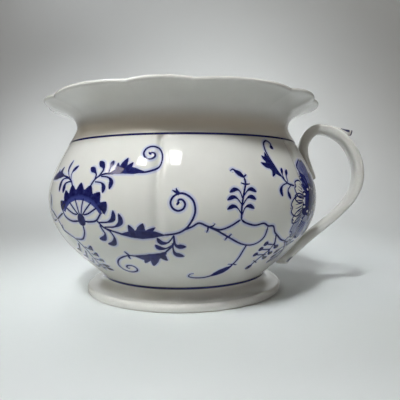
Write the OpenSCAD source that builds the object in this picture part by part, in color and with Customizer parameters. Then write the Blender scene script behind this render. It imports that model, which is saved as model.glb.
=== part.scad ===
// Chamber pot of glazed porcelain: a fluted bowl, a lobed rim, a spreading foot and a strap handle,
// cast apart and luted together with slip before firing. Millimetres, +Z up.
// The origin is the middle of the ring that the pot stands on, and the handle points to +X.

/* [Bowl] */
// Radius at the widest point of the belly
belly_r = 104; // [98:0.5:110]
// Height of the widest point of the belly
belly_z = 71.5; // [66:0.5:77]
// Outer radius of the joint between bowl and rim collar
shoulder_r = 88.4; // [86:0.2:91]
// Height of the joint between bowl and rim collar
shoulder_z = 112.4; // [109:0.2:117]
// Outward reach of the lower curve as it leaves the foot
low_pull_out = 22; // [16:1:26]
// Upward reach of the lower curve as it leaves the foot
low_pull_up = 20; // [15:1:25]
// Fullness of the curve just under the widest point
belly_pull_down = 25; // [18:1:30]
// Fullness of the curve just over the widest point
belly_pull_up = 14.5; // [9:0.5:19]
// Outward reach of the shoulder curve at its top
shoulder_pull_out = 6.8; // [4:0.2:9]
// Downward reach of the shoulder curve at its top
shoulder_pull_down = 12.2; // [8:0.2:15]
// Wall thickness of the bowl
wall = 5; // [4.2:0.1:6]
// Thickness of the bowl's floor
floor_t = 6; // [4:0.5:9]
// Width of the joint face at the shoulder
shoulder_joint_w = 5.6; // [4.5:0.1:6.5]

/* [Flutes] */
// Number of upright flutes round the bowl
flute_count = 6; // [4:1:8]
// Radius of a flute's round bottom
flute_round = 5.5; // [4.5:0.5:8]
// Depth of a flute at the height of the belly
flute_depth = 2.3; // [1.5:0.1:2.6]
// Depth of a flute at its head under the shoulder
flute_head_depth = 2.8; // [2:0.1:3]
// Distance of a flute's head below the shoulder joint
flute_head_gap = 6; // [5:0.5:9]
// Height at which a flute runs out towards the foot
flute_low_z = 38; // [34:0.5:45]

/* [Rim] */
// Outer radius of the neck at its narrowest
neck_r = 83.1; // [80:0.2:85]
// Height of the narrowest point of the neck
neck_z = 124.2; // [121:0.2:127]
// Outer radius of the rim at the tips of its lobes
rim_r = 105; // [101:0.5:111]
// Height of the rim's edge
rim_z = 141.5; // [138:0.5:150]
// Depth of the folds between the lobes of the rim
fold_depth = 3.4; // [1:0.2:5]
// Drop of the rim's edge at the folds
fold_drop = 0.8; // [0:0.1:1.5]
// Angle between a narrow lobe's middle and its folds
fold_angle = 11; // [8:0.5:14]
// Wall thickness of the collar at the rim's edge
rim_t = 3.2; // [2.4:0.1:4.5]
// Upward reach of the neck curve as it leaves the shoulder
neck_pull_up = 3.7; // [2:0.1:5]
// Inward reach of the neck curve as it leaves the shoulder
neck_pull_in = 2.1; // [1:0.1:3]
// Straightness of the neck below its narrowest point
neck_pull_down = 2.7; // [1:0.1:4]
// Straightness of the neck above its narrowest point
flare_pull_up = 9; // [5:0.5:11]
// Inward reach of the flare at the rim's edge
flare_pull_in = 13; // [8:0.5:16]
// Downward reach of the flare at the rim's edge
flare_pull_down = 4.5; // [2:0.5:8]

/* [Foot] */
// Outer radius of the foot at its lip
foot_r = 77.4; // [74:0.2:82]
// Outer radius of the joint between bowl and foot
foot_joint_r = 64.5; // [62:0.2:67]
// Height of the joint between bowl and foot
foot_joint_z = 12.7; // [11.5:0.1:15]
// Height of the lip at the foot's edge
foot_lip_h = 5.4; // [4.5:0.1:6.5]
// Rounding of the lip's upper edge
foot_lip_round = 2.6; // [1.5:0.1:3]
// Rounding of the lip's lower edge
foot_base_round = 1.2; // [0.6:0.1:1.5]
// Width of the ring that the pot stands on
foot_ring_w = 6; // [4:0.2:8]
// Width of the joint face at the top of the foot
foot_joint_w = 7; // [5:0.2:9]
// Straightness of the foot's hollow under the joint
foot_pull_down = 4.6; // [3:0.2:6]
// Inward reach of the foot's hollow over the lip
foot_pull_in = 7; // [4:0.5:9]

/* [Handle] */
// Distance from the belly's outside to the middle of the strap at its widest reach
loop_out = 33.4; // [28:0.2:42]
// Height of the strap's widest reach
reach_z = 88; // [82:0.5:94]
// Distance from the belly's outside to the top of the loop
crest_out = 3; // [0:0.5:8]
// Height of the strap's middle at the top of the loop
crest_z = 124; // [120:0.1:128]
// Height at which the strap leaves the shoulder
root_z = 108; // [105:0.5:110]
// Height of the tip of the upper leaf
tail_z = 86.5; // [82:0.5:92]
// Height of the strap's lower end
end_z = 20.5; // [19:0.5:24]
// Upward reach of the strap as it leaves the shoulder
root_pull = 5; // [3:0.5:8]
// Inward reach of the curve at the top of the loop
crest_pull_in = 7; // [4:0.5:9]
// Outward reach of the curve at the top of the loop
crest_pull_out = 17; // [12:0.5:22]
// Upward reach of the curve at the widest point
reach_pull_up = 19.6; // [14:0.2:25]
// Downward reach of the curve at the widest point
reach_pull_down = 26; // [20:0.5:32]
// Reach of the lower run back along the wall
end_pull = 43; // [36:0.5:48]
// Slope of the lower run, in degrees
end_slope = 46.5; // [42:0.5:50]
// Strap thickness at the root
root_t = 7.2; // [6:0.1:9]
// Strap thickness at the top of the loop
crest_t = 8.2; // [7:0.1:10]
// Strap thickness at the widest reach
reach_t = 7.8; // [6.5:0.1:9]
// How much thinner the strap is half way down to its lower end
waist_t = 1.2; // [0:0.1:2]
// Strap thickness at the lower end
end_t = 7.8; // [6.5:0.1:9]
// Strap width at the top of the loop
crest_w = 14; // [11:0.5:16]
// Strap width at the widest reach
reach_w = 17; // [14:0.5:19]
// How much narrower the strap is half way down to its lower end
waist_w = 2.5; // [1:0.5:4]
// Width of the upper leaf where it meets the loop
root_w = 14; // [11:0.5:17]
// Width of the lower leaf
end_w = 15; // [12:0.5:18]
// Thickness of the upper leaf at its tip
tail_t = 3.4; // [2:0.1:4]
// Width of the upper leaf at its tip
tail_w = 4; // [3:0.5:6]

/* [Thumb spur] */
// Width of the spur
spur_w = 8.5; // [6:0.5:11]
// Thickness of the spur
spur_t = 2.6; // [2:0.1:3.5]
// Outward step of the spur's tip from the end of its seat
spur_reach = 5; // [3:0.5:8]
// Downward step of the spur's tip from the end of its seat
spur_dip = 1.6; // [0:0.1:2.5]

/* [Luting slip] */
// Thickness of the slip in the joints
slip_t = 0.5; // [0.3:0.05:0.8]

/* [Hidden] */
$fn = 96;

porcelain = [0.93, 0.93, 0.91];
slip_grey = [0.82, 0.81, 0.78];

// Hair's breadth left between a faceted piece and the round face that it lies on
seat_gap = 0.03;
// Straight steps in one curve of a turned outline
outline_steps = 16;
// The round head of a flute is a little larger than the flute, and set a little further out
flute_head_grow = 0.5;
flute_head_lift = 0.3;
// Depth that a flute keeps where it runs out
flute_run_out = 0.15;
// Columns round the rim and rows along each curve of its section
rim_columns = 120;
neck_rows = 5;
flare_rows = 8;
lip_rows = 4;
// Exponent of the folds' outline: under 1, the folds are sharp and the lobes full
fold_sharpness = 0.7;
// Share of the shoulder's joint face that the collar's wall takes up just over it
collar_wall_share = 0.85;
// Turn between two points of the foot's rounded edges, in degrees
foot_edge_step = 15;
// Points round the strap's section and steps along its runs
strap_sides = 20;
tail_steps = 10;
rise_steps = 8;
crown_steps = 14;
fall_steps = 24;
cap_steps = 4;
// Steps of the lower run that belong to the loop; the rest are the lower leaf's
loop_fall_steps = 15;
// Last turn of a rounded strap end, in degrees
cap_turn = 82;
// Squareness of the strap's oval section: 2 is an ellipse
strap_square = 3.2;
// Exponent of the upper leaf's growth in thickness: high, it stays thin for most of its length
tail_growth = 3.5;
// Steps along and round the spur, and the stretch of the loop's crown that it sits on
spur_rows = 14;
spur_sides = 10;
spur_seat_from = 0.22;
spur_seat_to = 0.37;
// Share of the spur's length that lies on its seat
spur_seated = 0.5;
// Steps along and across a pad of slip, and its share of the leaf's width
pad_rows = 10;
pad_columns = 6;
pad_share = 0.7;
// Share of the leaf's length by which its pad stays short of the tip
pad_inset = 0.05;
// Share of a run over which its direction is measured
nudge = 0.01;
// Shares of the spur's length: its blunt start, where it is full, where its tip begins and ends
spur_blunt = 0.15;
spur_full = 0.6;
spur_tip_from = 0.75;
spur_tip_to = 1.01;
// Pulls on the spur's free underside, at its seat in millimetres and at its tip as a share
spur_pull = 2;
spur_tip_pull = 0.6;

// Heights of the faces at the two turned joints
bowl_top_z = shoulder_z - slip_t / 2;
collar_z = shoulder_z + slip_t / 2;
bowl_base_z = foot_joint_z + slip_t / 2;
foot_top_z = foot_joint_z - slip_t / 2;

// Point and direction on a cubic curve with four control points
function curve(p, t) = pow(1 - t, 3) * p[0] + 3 * t * pow(1 - t, 2) * p[1]
    + 3 * t * t * (1 - t) * p[2] + pow(t, 3) * p[3];
function heading(p, t) = 3 * pow(1 - t, 2) * (p[1] - p[0]) + 6 * t * (1 - t) * (p[2] - p[1])
    + 3 * t * t * (p[3] - p[2]);
function unit(v) = v / norm(v);
// Right-hand side of a direction in the radius and height plane
function right_of(d) = [d[1], -d[0]];
function mix(a, b, t) = a + (b - a) * t;
function ease(t) = t * t * (3 - 2 * t);
function curve_points(p, n) = [for (i = [0 : n]) curve(p, i / n)];
// The same curve moved inwards by a thickness that goes from d0 to d1
function inner_points(p, d0, d1, n) =
    [for (i = [0 : n]) curve(p, i / n) - mix(d0, d1, i / n) * right_of(unit(heading(p, i / n)))];
function reversed(list) = [for (i = [len(list) - 1 : -1 : 0]) list[i]];

// Outer outline of the bowl, from the foot joint to the belly and on to the shoulder
low_curve = [[foot_joint_r, bowl_base_z], [foot_joint_r + low_pull_out, bowl_base_z + low_pull_up],
             [belly_r, belly_z - belly_pull_down], [belly_r, belly_z]];
high_curve = [[belly_r, belly_z], [belly_r, belly_z + belly_pull_up],
              [shoulder_r + shoulder_pull_out, bowl_top_z - shoulder_pull_down],
              [shoulder_r, bowl_top_z]];

// Radius of the bowl's outside and slope of its outline at a height, found by halving
function curve_at(p, z, a = 0, b = 1, n = 26) = n == 0 ? (a + b) / 2
    : curve(p, (a + b) / 2)[1] < z ? curve_at(p, z, (a + b) / 2, b, n - 1)
    : curve_at(p, z, a, (a + b) / 2, n - 1);
function wall_curve(z) = z < belly_z ? low_curve : high_curve;
function wall_r(z) = curve(wall_curve(z), curve_at(wall_curve(z), z))[0];
function wall_side(z) = right_of(unit(heading(wall_curve(z), curve_at(wall_curve(z), z))));
// Radius at a height of a point that stands off the wall by d
function wall_off(z, d) = wall_r(z) + d / wall_side(z)[0];

// Faces of a tube from rings of k points, and of its two ends
function side_faces(k, rings) = [for (i = [0 : rings - 2], j = [0 : k - 1]) each [
    [i * k + j, i * k + (j + 1) % k, (i + 1) * k + j],
    [i * k + (j + 1) % k, (i + 1) * k + (j + 1) % k, (i + 1) * k + j]]];
module tube(rings) {
    k = len(rings[0]);
    n = len(rings);
    polyhedron([for (ring = rings) each ring],
               concat(side_faces(k, n), [[for (j = [k - 1 : -1 : 0]) j]],
                      [[for (j = [0 : k - 1]) (n - 1) * k + j]]), convexity = 6);
}

module bowl_solid() {
    floor_z = bowl_base_z + floor_t;
    inside = concat(inner_points(low_curve, wall, wall, outline_steps),
                    inner_points(high_curve, wall, wall, outline_steps));
    inner_top = [shoulder_r - shoulder_joint_w, bowl_top_z];
    inside_wall = [for (p = inside) if (p[1] > floor_z + wall / 2 && p[1] < bowl_top_z - wall) p];
    rotate_extrude() polygon(concat(
        [[0, bowl_base_z]], curve_points(low_curve, outline_steps),
        [for (i = [1 : outline_steps]) curve(high_curve, i / outline_steps)],
        [inner_top], reversed(inside_wall), [[inside_wall[0][0] - wall, floor_z], [0, floor_z]]));
}

// Centre of the circle through three points of a plane
function circle_centre(a, b, c) = let (
        d = 2 * (a[0] * (b[1] - c[1]) + b[0] * (c[1] - a[1]) + c[0] * (a[1] - b[1])))
    [((a * a) * (b[1] - c[1]) + (b * b) * (c[1] - a[1]) + (c * c) * (a[1] - b[1])) / d,
     ((a * a) * (c[0] - b[0]) + (b * b) * (a[0] - c[0]) + (c * c) * (b[0] - a[0])) / d];
function slope_of(v) = atan2(v[1], v[0]);

// Bottom of a flute at its head, at the belly and where it runs out
function under_wall(z, depth) = [wall_r(z), z] - depth * wall_side(z);
flute_head = under_wall(bowl_top_z - flute_head_gap, flute_head_depth);
flute_low = under_wall(flute_low_z, flute_run_out);
flute_centre = circle_centre(flute_head, under_wall(belly_z, flute_depth), flute_low);

// Round-bottomed cutter along the upright arc through those points, with a round head
module flute_cutter() {
    sweep_r = norm(flute_head - flute_centre) + flute_round;
    low_angle = slope_of(flute_low - flute_centre);
    head_angle = slope_of(flute_head - flute_centre);
    translate([flute_centre[0], 0, flute_centre[1]]) rotate([90, 0, 0]) {
        rotate(low_angle) rotate_extrude(angle = head_angle - low_angle)
            translate([sweep_r, 0]) circle(flute_round);
        rotate(head_angle) translate([sweep_r + flute_head_lift, 0, 0])
            sphere(flute_round + flute_head_grow);
    }
}

module bowl() {
    flute_turn = 360 / flute_count;
    color(porcelain) difference() {
        bowl_solid();
        for (i = [0 : flute_count - 1]) rotate((i + 0.5) * flute_turn) flute_cutter();
    }
}

module slip_ring(outer_r, width, z) {
    color(slip_grey) rotate_extrude()
        translate([outer_r - width, z - slip_t / 2]) square([width, slip_t]);
}
module neck_slip_ring() { slip_ring(shoulder_r, shoulder_joint_w, shoulder_z); }
module foot_slip_ring() { slip_ring(foot_joint_r, foot_joint_w, foot_joint_z); }

// Outer outline of the collar, from the shoulder to the neck and on to the rim's edge
neck_curve = [[shoulder_r, collar_z], [shoulder_r - neck_pull_in, collar_z + neck_pull_up],
              [neck_r, neck_z - neck_pull_down], [neck_r, neck_z]];
flare_curve = [[neck_r, neck_z], [neck_r, neck_z + flare_pull_up],
               [rim_r - flare_pull_in, rim_z - rim_t / 2 - flare_pull_down],
               [rim_r, rim_z - rim_t / 2]];

// How far a place at angle a round the rim lies in a fold: 0 at a lobe's middle, 1 in the fold
function fold_share(a) = let (
        period = 360 / flute_count,
        from_flute = abs(((a + 2 * 360) % period) - period / 2),
        half_wide = period / 2 - fold_angle,
        u = from_flute < fold_angle ? from_flute / fold_angle : (period / 2 - from_flute) / half_wide)
    1 - pow(cos(90 * u), fold_sharpness);

// Section of the collar as radius, height and share of the folds: up the outside, over the lip, down
function collar_section() = let (
        rim_side = right_of(unit(heading(flare_curve, 1))),
        lip = curve(flare_curve, 1) - rim_t / 2 * rim_side,
        lip_dir = unit(heading(flare_curve, 1)),
        neck_in = inner_points(neck_curve, shoulder_joint_w * collar_wall_share, wall, neck_rows),
        flare_in = inner_points(flare_curve, wall, rim_t, flare_rows))
    concat(
        [for (i = [0 : neck_rows - 1]) [each curve(neck_curve, i / neck_rows), 0]],
        [for (i = [0 : flare_rows]) [each curve(flare_curve, i / flare_rows), pow(i / flare_rows, 2)]],
        [for (i = [1 : lip_rows - 1]) let (q = 180 * i / lip_rows)
            [each (lip + rim_t / 2 * (cos(q) * rim_side + sin(q) * lip_dir)), 1]],
        [for (i = [flare_rows : -1 : 0]) [each flare_in[i], pow(i / flare_rows, 2)]],
        [for (i = [neck_rows - 1 : -1 : 1]) [each neck_in[i], 0]],
        [[shoulder_r - shoulder_joint_w, collar_z, 0]]);

module rim_collar() {
    section = collar_section();
    k = len(section);
    points = [for (i = [0 : rim_columns - 1]) let (a = 360 * i / rim_columns, f = fold_share(a))
        for (s = section) let (r = s[0] - f * s[2] * fold_depth)
            [r * cos(a), r * sin(a), s[1] - f * s[2] * fold_drop]];
    faces = [for (i = [0 : rim_columns - 1], j = [0 : k - 1]) let (m = (i + 1) % rim_columns, q = (j + 1) % k)
        each [[i * k + j, i * k + q, m * k + j], [i * k + q, m * k + q, m * k + j]]];
    color(porcelain) polyhedron(points, faces, convexity = 6);
}

module foot() {
    lip_x = foot_r - foot_lip_round;
    hollow = [[foot_joint_r, foot_top_z], [foot_joint_r, foot_top_z - foot_pull_down],
              [lip_x - foot_pull_in, foot_lip_h], [lip_x, foot_lip_h]];
    color(porcelain) rotate_extrude() polygon(concat(
        curve_points(hollow, outline_steps / 2),
        [for (q = [90 - foot_edge_step : -foot_edge_step : 0]) [lip_x + foot_lip_round * cos(q),
                                   foot_lip_h - foot_lip_round + foot_lip_round * sin(q)]],
        [for (q = [0 : -foot_edge_step : -90]) [foot_r - foot_base_round + foot_base_round * cos(q),
                                    foot_base_round + foot_base_round * sin(q)]],
        [[foot_r - foot_ring_w, 0], [foot_joint_r - foot_joint_w, foot_top_z]]));
}

// Places of the loop, off the belly
reach = belly_r + loop_out;
crest_x = belly_r + crest_out;

// Middle line of the handle in the radius and height plane, with thickness and width at each station
function tail_at(t) = let (z = mix(tail_z, root_z, t),
        thick = mix(tail_t, root_t, pow(max(t, 0), tail_growth)))
    [wall_off(z, slip_t + thick / 2), z, thick, mix(tail_w, root_w, sin(90 * t))];
root_point = [tail_at(1)[0], tail_at(1)[1]];
root_dir = unit(root_point - [tail_at(1 - nudge)[0], tail_at(1 - nudge)[1]]);
end_point = [wall_off(end_z, slip_t + end_t / 2), end_z];
rise_curve = [root_point, root_point + root_pull * root_dir, [crest_x - crest_pull_in, crest_z],
              [crest_x, crest_z]];
crown_curve = [[crest_x, crest_z], [crest_x + crest_pull_out, crest_z],
               [reach, reach_z + reach_pull_up], [reach, reach_z]];
fall_curve = [[reach, reach_z], [reach, reach_z - reach_pull_down],
              end_point + end_pull * [cos(end_slope), sin(end_slope)], end_point];
function rise_at(t) = [each curve(rise_curve, t), mix(root_t, crest_t, ease(t)), mix(root_w, crest_w, t)];
function crown_at(t) = [each curve(crown_curve, t), mix(crest_t, reach_t, t), mix(crest_w, reach_w, ease(t))];
function fall_at(t) = [each curve(fall_curve, t), mix(reach_t, end_t, t) - waist_t * sin(180 * t),
                       mix(reach_w, end_w, t) - waist_w * sin(180 * t)];

// One station: middle, direction, thickness and width
function station(s, d) = [[s[0], s[1]], unit(d), s[2], s[3]];
tail_run = [for (i = [0 : tail_steps]) let (t = i / tail_steps, d = tail_at(t + nudge) - tail_at(t - nudge))
    station(tail_at(t), [d[0], d[1]])];
rise_run = [for (i = [0 : rise_steps]) let (t = i / rise_steps)
    station(rise_at(t), heading(rise_curve, t))];
crown_run = [for (i = [1 : crown_steps]) let (t = i / crown_steps)
    station(crown_at(t), heading(crown_curve, t))];
fall_run = [for (i = [1 : fall_steps]) let (t = i / fall_steps)
    station(fall_at(t), heading(fall_curve, t))];

// A station moved on by step and shrunk, to round an end off
function shrunk(s, step, share) = [s[0] + step * s[1], s[1], s[2] * share, s[3] * share];
function rounded_end(s, sign) = [for (i = [1 : cap_steps]) let (q = cap_turn * i / cap_steps)
    shrunk(s, sign * s[2] / 2 * sin(q), cos(q))];

// Ring of points round a station: an oval strap section, kept off the wall by the slip
function oval(q) = let (c = cos(q), s = sin(q), e = 2 / strap_square)
    [sign(c) * pow(abs(c), e), sign(s) * pow(abs(s), e)];
function off_wall(p) = let (r = norm([p[0], p[1]]),
        least = p[2] > bowl_top_z ? 0 : wall_r(p[2]) + slip_t + seat_gap)
    r < least ? [p[0] * least / r, p[1] * least / r, p[2]] : p;
function ring(s) = [for (j = [0 : strap_sides - 1]) let (
        o = oval(360 * j / strap_sides), p = s[0] + s[2] / 2 * o[0] * right_of(s[1]))
    off_wall([p[0], s[3] / 2 * o[1], p[1]])];
module strap(stations) { tube([for (s = stations) ring(s)]); }

function part_of(list, from, to) = [for (i = [from : to]) list[i]];
module upper_handle_leaf() {
    color(porcelain) strap(concat(reversed(rounded_end(tail_run[0], -1)), tail_run));
}
module handle_loop() {
    color(porcelain) strap(concat([tail_run[tail_steps]], part_of(rise_run, 1, rise_steps), crown_run,
                                  part_of(fall_run, 0, loop_fall_steps)));
}
module lower_handle_leaf() {
    color(porcelain) strap(concat(part_of(fall_run, loop_fall_steps, fall_steps - 1),
                                  rounded_end(fall_run[fall_steps - 1], 1)));
}

// Pad of slip between a leaf and the wall, from a row of heights and half widths
module slip_pad(rows) {
    k = pad_columns;
    function face_at(row, off) = [for (j = [0 : k]) let (y = row[1] * (2 * j / k - 1),
            r = wall_r(row[0]) + off) [sqrt(r * r - y * y), y, row[0]]];
    color(slip_grey) tube([for (row = rows)
        concat(face_at(row, slip_t), reversed(face_at(row, seat_gap)))]);
}
module upper_handle_slip() {
    slip_pad([for (i = [1 : pad_rows]) let (s = tail_at(i / pad_rows - pad_inset))
        [s[1], s[3] / 2 * pad_share]]);
}
module lower_handle_slip() {
    top_z = fall_run[loop_fall_steps][0][1];
    slip_pad([for (i = [0 : pad_rows]) [mix(end_z, top_z, i / pad_rows), end_w / 2 * pad_share]]);
}

// Seat of the spur on the loop's crown: a point of its outer face and the way out of it
function crown_face(t, off) = let (s = crown_at(t), side = -right_of(unit(heading(crown_curve, t))))
    [s[0], s[1]] + (s[2] / 2 + off) * side;
function spur_seat(u) = mix(spur_seat_from, spur_seat_to, u / spur_seated);
spur_foot = crown_face(spur_seat_to, slip_t);
spur_tip = spur_foot + [spur_reach, -spur_dip];
function spur_low(u) = u <= spur_seated ? crown_face(spur_seat(u), slip_t)
    : curve([spur_foot, spur_foot + spur_pull * unit(heading(crown_curve, spur_seat_to)),
             mix(spur_foot, spur_tip, spur_tip_pull) + [0, spur_dip / 2], spur_tip],
            (u - spur_seated) / (1 - spur_seated));
function spur_dir(u) = unit(spur_low(min(u + nudge, 1)) - spur_low(max(u - nudge, 0)));
function spur_share(u) = sin(90 * min(1, spur_blunt + u / spur_full))
    * sqrt(1 - pow(max(0, (u - spur_tip_from) / (spur_tip_to - spur_tip_from)), 4));

// Ring round the spur: flat below, arched above
function spur_ring(u, thick, base, share) = let (up = -right_of(spur_dir(u)))
    [for (j = [0 : spur_sides]) let (o = oval(180 * j / spur_sides),
            p = spur_low(u) + (base + thick * o[1]) * up)
        [p[0], -spur_w / 2 * share * o[0], p[1]]];
module thumb_spur() {
    color(porcelain) tube([for (i = [0 : spur_rows]) let (u = i / spur_rows)
        spur_ring(u, spur_t * spur_share(u), seat_gap, spur_share(u))]);
}
module spur_slip() {
    color(slip_grey) tube([for (i = [0 : spur_rows / 2]) let (u = spur_seated * i / (spur_rows / 2))
        spur_ring(u, slip_t - seat_gap, seat_gap - slip_t, pad_share * spur_share(u))]);
}

bowl();
neck_slip_ring();
rim_collar();
foot_slip_ring();
foot();
upper_handle_leaf();
handle_loop();
lower_handle_leaf();
upper_handle_slip();
lower_handle_slip();
thumb_spur();
spur_slip();
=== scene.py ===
import math

import bpy
import numpy as np
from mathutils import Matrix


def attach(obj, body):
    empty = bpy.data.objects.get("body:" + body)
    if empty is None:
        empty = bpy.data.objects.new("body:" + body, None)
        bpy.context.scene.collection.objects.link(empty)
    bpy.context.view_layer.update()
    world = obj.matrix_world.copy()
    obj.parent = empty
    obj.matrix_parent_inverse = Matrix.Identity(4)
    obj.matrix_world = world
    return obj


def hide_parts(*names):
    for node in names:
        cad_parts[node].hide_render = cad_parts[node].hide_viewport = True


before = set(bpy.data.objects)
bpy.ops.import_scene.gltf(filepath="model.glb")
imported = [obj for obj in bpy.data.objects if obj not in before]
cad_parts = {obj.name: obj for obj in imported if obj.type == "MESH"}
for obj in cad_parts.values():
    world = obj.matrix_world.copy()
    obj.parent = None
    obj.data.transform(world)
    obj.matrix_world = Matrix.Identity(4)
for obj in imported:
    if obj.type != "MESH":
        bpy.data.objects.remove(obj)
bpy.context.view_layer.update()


# Foot. A spreading ring of porcelain, hollow underneath, turned and then luted under the bowl.
# It is glazed all over except for the ring that it stands on, which is ground to bare biscuit.
MM = 0.001
JOINT_R, FOOT_TOP, JOINT_PULL = 64.5, 12.45, 4.6
LIP_R, LIP_H, LIP_ROUND, LIP_PULL, BASE_ROUND = 77.4, 5.4, 2.6, 7.0, 1.2
RING_INNER, RING_ROUND, RING_EDGE_H, HOLLOW_R, EASED = 71.4, 0.8, 2.0, 57.5, 0.2
GLAZE_WHITES = ((0.3, (0.79, 0.795, 0.765)), (0.72, (0.845, 0.85, 0.82)))
# The warm glaze colour stands for both thick glaze and painted shade in the neck under the rim.
WARM_GLAZE_AND_SHADE, IRON_SPECK, BISCUIT = (0.74, 0.67, 0.57, 1), (0.34, 0.29, 0.23, 1), (0.56, 0.5, 0.42, 1)
CLOUD_SCALE, SPECK_SCALE, SPECK_SIZE, SPECK_RARE = 45.0, 70.0, (0.028, 0.012), 0.82
POLISH, BISCUIT_ROUGH, GROUND_OFF = (0.03, 0.07), 0.85, (0.55 * MM, 0.15 * MM)
PEEL_SCALE, PEEL_STRENGTH, PEEL_DEPTH = 170.0, 0.06, 0.4 * MM
GLAZE_IOR, COAT, COAT_ROUGH = 1.52, 0.3, 0.04


def cubic(points, t):
    """Cubic curve: four points weighted by (1-t)^3, 3t(1-t)^2, 3t^2(1-t) and t^3."""
    p = np.asarray(points, float)
    t = np.asarray(t, float)[..., None]
    return (1 - t) ** 3 * p[0] + 3 * t * (1 - t) ** 2 * p[1] + 3 * t ** 2 * (1 - t) * p[2] + t ** 3 * p[3]


def arc(centre, radius, start, end, count):
    """Circle about a centre: radius times the cosine and sine of an angle from start to end degrees."""
    a = np.radians(np.linspace(start, end, count))
    return np.asarray(centre) + radius * np.stack([np.cos(a), np.sin(a)], -1)


def around(radius, turn, height):
    """Places round the upright axis from radii, turns in degrees and heights: x = r cos a, y = r sin a."""
    a = np.radians(turn)
    return np.stack(np.broadcast_arrays(radius * np.cos(a), radius * np.sin(a), height), -1)


def turned(outline, columns):
    """Outline of (radius, height) turned round the upright axis, with a row for each of its points."""
    outline = np.asarray(outline, float)
    return around(outline[:, :1], np.arange(columns) * 360 / columns, outline[:, 1:])


def grid_faces(rows, columns, close_rows=False, close_columns=True):
    """Quads between neighbouring rows and columns of a grid; where closed, the last one meets the first."""
    i = np.arange(rows if close_rows else rows - 1)[:, None]
    j = np.arange(columns if close_columns else columns - 1)[None, :]
    k, m = (i + 1) % rows, (j + 1) % columns
    corners = (i * columns + j, i * columns + m, k * columns + m, k * columns + j)
    return np.stack(np.broadcast_arrays(*corners), -1).reshape(-1, 4)


def new_piece(name, points, faces, material):
    """Smooth object at the origin from places in mm, the numbers of those round each face and a material."""
    mesh = bpy.data.meshes.new(name)
    mesh.from_pydata((points.reshape(-1, 3) * MM).tolist(), [], faces)
    mesh.polygons.foreach_set("use_smooth", np.ones(len(mesh.polygons), bool))
    mesh.materials.append(material)
    piece = bpy.data.objects.new(name, mesh)
    bpy.context.collection.objects.link(piece)
    return piece


def fired_piece(name, grid, material, close_rows=False, poles=()):
    """Closed body over a grid in mm, rows by columns; a pole point closes the first and the last row.
    The faces are turned outwards by the sign of the volume, the sum of corner . (corner x corner) / 6."""
    rows, columns = grid.shape[:2]
    points = grid.reshape(-1, 3)
    faces = [grid_faces(rows, columns, close_rows)]
    for pole, row, turn in zip(poles, (0, rows - 1), (1, -1)):
        j = row * columns + np.arange(columns)
        fan = np.stack([np.full(columns, len(points)), np.roll(j, -1), j], -1)
        faces.append(fan[:, ::turn])
        points = np.vstack([points, pole])
    tris = np.vstack([f[:, [0, a, a + 1]] for f in faces for a in range(1, f.shape[1] - 1)])
    a, b, c = points[tris].transpose(1, 0, 2)
    if np.einsum("ij,ij->", a, np.cross(b, c)) < 0:
        faces = [f[:, ::-1] for f in faces]
    return new_piece(name, points, [f for group in faces for f in group.tolist()], material)


def feed(tree, node, inputs):
    """Links each named input of a node to the socket given for it, or sets it to the plain value given."""
    for name, given in inputs.items():
        if isinstance(given, bpy.types.NodeSocket):
            tree.links.new(given, node.inputs[name])
        else:
            node.inputs[name].default_value = given


def new_node(tree, kind, inputs, **settings):
    """New node of a kind in a tree, with its settings and then its inputs."""
    node = tree.nodes.new(kind)
    for name, value in settings.items():
        setattr(node, name, value)
    feed(tree, node, inputs)
    return node


def noise(tree, scale, detail):
    """Noise over the piece's own coordinates."""
    place = new_node(tree, "ShaderNodeTexCoord", {}).outputs["Object"]
    node = new_node(tree, "ShaderNodeTexNoise", {"Vector": place, "Scale": scale, "Detail": detail})
    return node.outputs["Fac"]


def mixed(tree, factor, first, second, kind="RGBA"):
    """Mix by a factor from a first to a second colour or value."""
    node = new_node(tree, "ShaderNodeMix", {"Factor": factor, "A": first, "B": second}, data_type=kind)
    return node.outputs["Result"]


def ranged(tree, value, source=(0, 1), target=(0, 1)):
    """Value taken evenly from a source range to a target range, and held at its ends."""
    low, high = {"From Min": source[0], "To Min": target[0]}, {"From Max": source[1], "To Max": target[1]}
    return new_node(tree, "ShaderNodeMapRange", {"Value": value, **low, **high}).outputs["Result"]


def toned(tree, value, first, last, between=()):
    """Colour looked up by a value in a ramp between a first and a last stop of (position, colour)."""
    node = new_node(tree, "ShaderNodeValToRGB", {"Fac": value})
    stops = node.color_ramp.elements
    for stop, (position, colour) in zip((stops[0], stops[1]), (first, last)):
        stop.position, stop.color = position, (*colour, 1)
    for position, colour in between:
        stops.new(position).color = (*colour, 1)
    return node.outputs["Color"]


def bumped(tree, height, strength, depth):
    """Normal of a surface that is raised by a height, up to a depth in metres."""
    node = new_node(tree, "ShaderNodeBump", {"Height": height, "Strength": strength, "Distance": depth})
    return node.outputs["Normal"]


def attribute(tree, name):
    """Named value of the mesh's points."""
    return new_node(tree, "ShaderNodeAttribute", {}, attribute_name=name).outputs["Fac"]


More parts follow.
